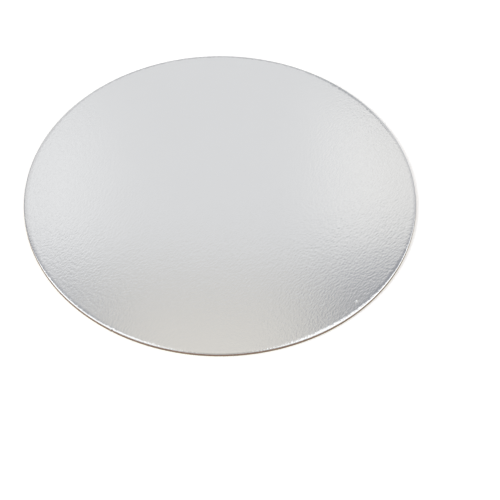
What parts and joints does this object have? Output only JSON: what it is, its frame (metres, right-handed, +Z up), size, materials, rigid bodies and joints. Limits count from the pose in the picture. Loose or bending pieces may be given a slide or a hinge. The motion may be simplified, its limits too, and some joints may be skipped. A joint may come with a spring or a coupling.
{
  "type": "cake board",
  "caption": "Flat round board of thick greyboard under a silver metallised liner, with a rolled, die-cut rim; it carries a cake or other bake.",
  "frame": {"origin": "centre of the flat underside", "axes": "+Z up through the silver face, along the axis of the disc; the rim's nib lies towards -X and -Y"},
  "size_m": [0.3, 0.3, 0.003],
  "materials": {
    "silver_foil": "gloss",
    "board_edge": "matte",
    "gold_foil": "gloss"
  },
  "bodies": {
    "root": {"cake_board": "silver_foil"}
  },
  "joints": []
}
